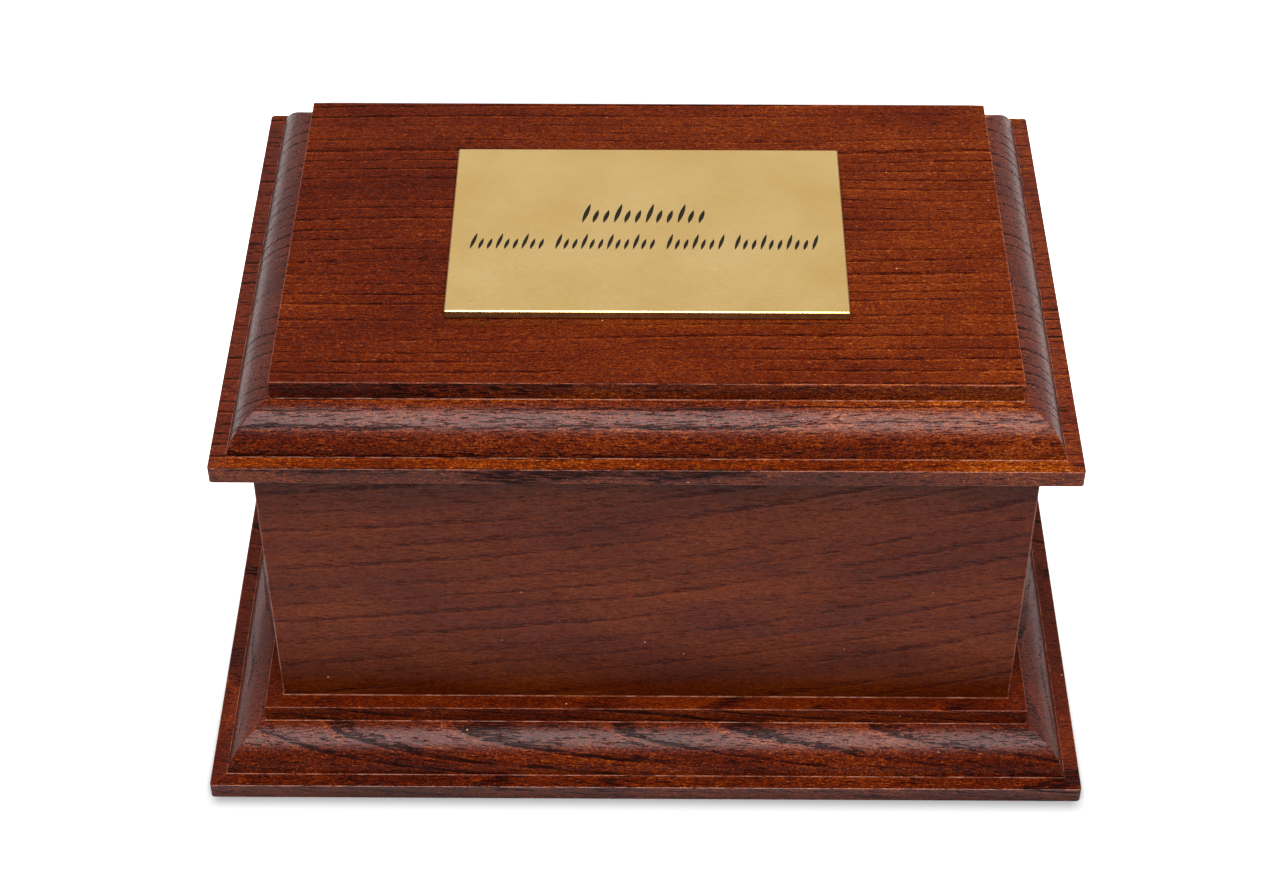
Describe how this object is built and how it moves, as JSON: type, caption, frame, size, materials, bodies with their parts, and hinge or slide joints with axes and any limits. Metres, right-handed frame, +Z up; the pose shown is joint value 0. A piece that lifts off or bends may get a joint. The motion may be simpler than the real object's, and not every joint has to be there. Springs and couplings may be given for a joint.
{
  "type": "wooden ashes casket",
  "caption": "Rectangular moulded hardwood ashes casket with a lift-off lid, a wider moulded base and an engraved brass plate lying on the lid.",
  "frame": {"origin": "middle of the flat underside of the base board", "axes": "+Z up, +X along the long side to the right as seen from the front, and the front faces -Y"},
  "size_m": [0.294, 0.207, 0.1641],
  "materials": {
    "base_wood": "satin lacquered, red-brown stain",
    "wall_wood": "satin lacquered, red-brown stain",
    "lid_wood": "satin lacquered, red-brown stain",
    "plate_brass": "satin brushed, black-filled strokes"
  },
  "bodies": {
    "root": {"base_board": "base_wood", "front_wall": "wall_wood", "back_wall": "wall_wood", "left_wall": "wall_wood", "right_wall": "wall_wood", "lid_board": "lid_wood", "name_plate": "plate_brass"}
  },
  "joints": []
}
